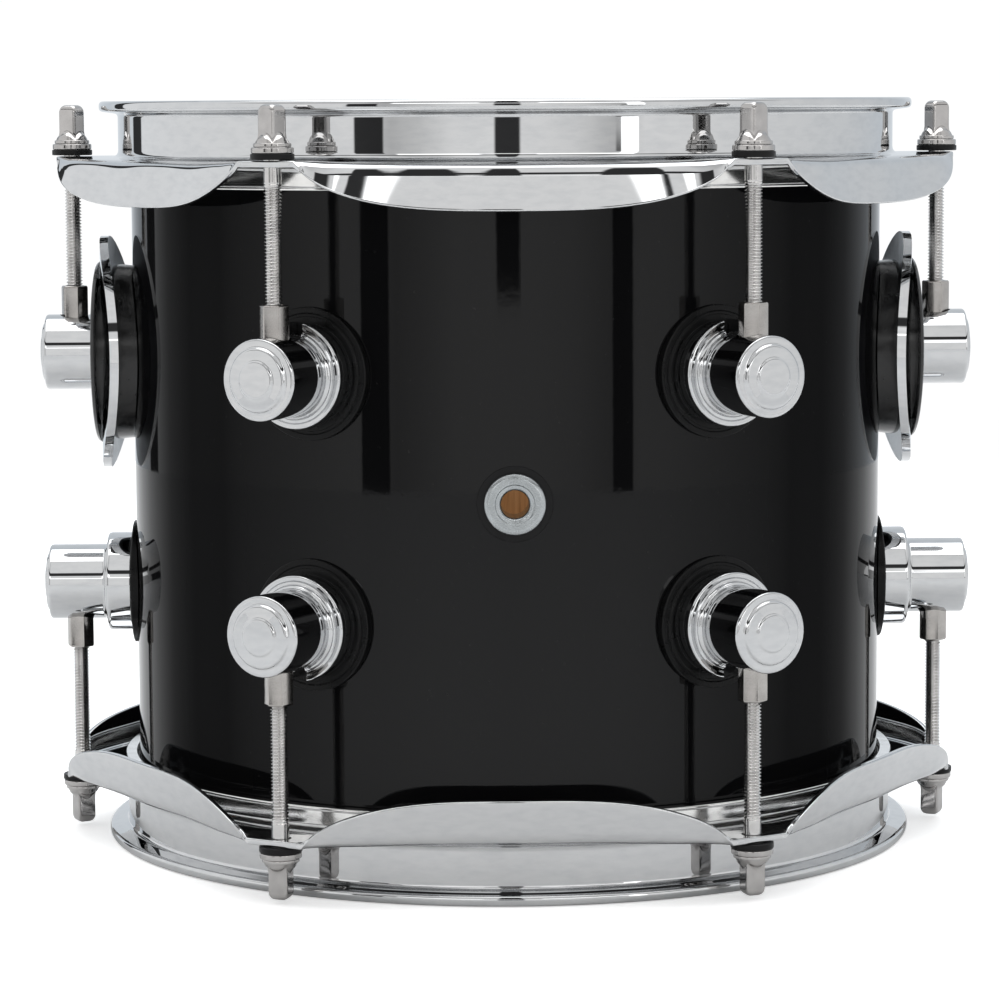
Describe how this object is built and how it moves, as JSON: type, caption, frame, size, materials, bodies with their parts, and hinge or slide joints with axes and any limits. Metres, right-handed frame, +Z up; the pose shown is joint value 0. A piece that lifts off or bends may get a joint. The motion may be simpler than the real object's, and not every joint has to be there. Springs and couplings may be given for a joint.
{
  "type": "rack tom drum",
  "caption": "Black lacquered cylindrical rack tom with chrome flanged hoops, turret lugs, tension rods and a suspension mount bracket.",
  "frame": {"origin": "centre of the resonant (lower) head's outer face, on the shell's axis", "axes": "+Z up along the shell's axis, out of the batter (upper) head; -Y to the front, where the vent is; +Y to the mount bracket"},
  "size_m": [0.3138, 0.3324, 0.2462],
  "materials": {
    "shell_lacquer": "deep gloss black lacquer over maple ply",
    "batter_film": "coated white film",
    "resonant_film": "smooth milky film",
    "flesh_hoop_aluminium": "brushed",
    "hoop_chrome": "bright chrome plate",
    "lug_chrome": "bright chrome plate",
    "mount_chrome": "bright chrome plate",
    "nickel": "satin nickel plate",
    "rod_steel": "satin steel",
    "rubber": "matte black rubber",
    "vent_zinc": "satin zinc plate"
  },
  "bodies": {
    "drum": {"shell": "shell_lacquer", "batter_head_film": "batter_film", "batter_flesh_hoop": "flesh_hoop_aluminium", "resonant_head_film": "resonant_film", "resonant_flesh_hoop": "flesh_hoop_aluminium", "top_hoop": "hoop_chrome", "bottom_hoop": "hoop_chrome", "upper_lug_front_right": "lug_chrome", "upper_swivel_nut_front_right": "nickel", "upper_lug_gasket_front_right": "rubber", "upper_lug_right": "lug_chrome", "upper_swivel_nut_right": "nickel", "mount_grommet_right": "rubber", "upper_lug_back_right": "lug_chrome", "upper_swivel_nut_back_right": "nickel", "upper_lug_gasket_back_right": "rubber", "upper_lug_back_left": "lug_chrome", "upper_swivel_nut_back_left": "nickel", "upper_lug_gasket_back_left": "rubber", "upper_lug_left": "lug_chrome", "upper_swivel_nut_left": "nickel", "mount_grommet_left": "rubber", "upper_lug_front_left": "lug_chrome", "upper_swivel_nut_front_left": "nickel", "upper_lug_gasket_front_left": "rubber", "lower_lug_front_right": "lug_chrome", "lower_swivel_nut_front_right": "nickel", "lower_lug_gasket_front_right": "rubber", "lower_lug_right": "lug_chrome", "lower_swivel_nut_right": "nickel", "lower_lug_gasket_right": "rubber", "lower_lug_back_right": "lug_chrome", "lower_swivel_nut_back_right": "nickel", "lower_lug_gasket_back_right": "rubber", "lower_lug_back_left": "lug_chrome", "lower_swivel_nut_back_left": "nickel", "lower_lug_gasket_back_left": "rubber", "lower_lug_left": "lug_chrome", "lower_swivel_nut_left": "nickel", "lower_lug_gasket_left": "rubber", "lower_lug_front_left": "lug_chrome", "lower_swivel_nut_front_left": "nickel", "lower_lug_gasket_front_left": "rubber", "vent_grommet": "vent_zinc", "mount_band": "mount_chrome", "mount_bracket": "mount_chrome"},
    "upper_tension_rod_front_right": {"upper_tension_rod_front_right": "rod_steel"},
    "upper_tension_rod_right": {"upper_tension_rod_right": "rod_steel"},
    "upper_tension_rod_back_right": {"upper_tension_rod_back_right": "rod_steel"},
    "upper_tension_rod_back_left": {"upper_tension_rod_back_left": "rod_steel"},
    "upper_tension_rod_left": {"upper_tension_rod_left": "rod_steel"},
    "upper_tension_rod_front_left": {"upper_tension_rod_front_left": "rod_steel"},
    "lower_tension_rod_front_right": {"lower_tension_rod_front_right": "rod_steel"},
    "lower_tension_rod_right": {"lower_tension_rod_right": "rod_steel"},
    "lower_tension_rod_back_right": {"lower_tension_rod_back_right": "rod_steel"},
    "lower_tension_rod_back_left": {"lower_tension_rod_back_left": "rod_steel"},
    "lower_tension_rod_left": {"lower_tension_rod_left": "rod_steel"},
    "lower_tension_rod_front_left": {"lower_tension_rod_front_left": "rod_steel"},
    "clamp_jaw": {"clamp_jaw": "nickel"},
    "wing_bolt": {"wing_bolt": "mount_chrome"}
  },
  "joints": [
    {"name": "upper_rod_turn_front_right", "type": "hinge", "parent": "drum", "child": "upper_tension_rod_front_right", "pos_m": [0.07275, -0.12601, 0.2272], "axis": [0, 0, 1], "continuous": true},
    {"name": "upper_rod_turn_right", "type": "hinge", "parent": "drum", "child": "upper_tension_rod_right", "pos_m": [0.1455, 0, 0.2272], "axis": [0, 0, 1], "continuous": true},
    {"name": "upper_rod_turn_back_right", "type": "hinge", "parent": "drum", "child": "upper_tension_rod_back_right", "pos_m": [0.07275, 0.12601, 0.2272], "axis": [0, 0, 1], "continuous": true},
    {"name": "upper_rod_turn_back_left", "type": "hinge", "parent": "drum", "child": "upper_tension_rod_back_left", "pos_m": [-0.07275, 0.12601, 0.2272], "axis": [0, 0, 1], "continuous": true},
    {"name": "upper_rod_turn_left", "type": "hinge", "parent": "drum", "child": "upper_tension_rod_left", "pos_m": [-0.1455, 0, 0.2272], "axis": [0, 0, 1], "continuous": true},
    {"name": "upper_rod_turn_front_left", "type": "hinge", "parent": "drum", "child": "upper_tension_rod_front_left", "pos_m": [-0.07275, -0.12601, 0.2272], "axis": [0, 0, 1], "continuous": true},
    {"name": "lower_rod_turn_front_right", "type": "hinge", "parent": "drum", "child": "lower_tension_rod_front_right", "pos_m": [0.07275, -0.12601, -0.0128], "axis": [0, 0, -1], "continuous": true},
    {"name": "lower_rod_turn_right", "type": "hinge", "parent": "drum", "child": "lower_tension_rod_right", "pos_m": [0.1455, 0, -0.0128], "axis": [0, 0, -1], "continuous": true},
    {"name": "lower_rod_turn_back_right", "type": "hinge", "parent": "drum", "child": "lower_tension_rod_back_right", "pos_m": [0.07275, 0.12601, -0.0128], "axis": [0, 0, -1], "continuous": true},
    {"name": "lower_rod_turn_back_left", "type": "hinge", "parent": "drum", "child": "lower_tension_rod_back_left", "pos_m": [-0.07275, 0.12601, -0.0128], "axis": [0, 0, -1], "continuous": true},
    {"name": "lower_rod_turn_left", "type": "hinge", "parent": "drum", "child": "lower_tension_rod_left", "pos_m": [-0.1455, 0, -0.0128], "axis": [0, 0, -1], "continuous": true},
    {"name": "lower_rod_turn_front_left", "type": "hinge", "parent": "drum", "child": "lower_tension_rod_front_left", "pos_m": [-0.07275, -0.12601, -0.0128], "axis": [0, 0, -1], "continuous": true},
    {"name": "wing_bolt_turn", "type": "hinge", "parent": "drum", "child": "wing_bolt", "pos_m": [0, 0.18, 0.1272], "axis": [0, -1, 0], "range_deg": [0, 450]},
    {"name": "clamp_jaw_slide", "type": "slide", "parent": "drum", "child": "clamp_jaw", "axis": [0, -1, 0], "range_m": [0, 0.00126]}
  ],
  "couplings": [
    {"joint": "clamp_jaw_slide", "follows": "wing_bolt_turn", "m_per_rad": 0.00015915}
  ]
}
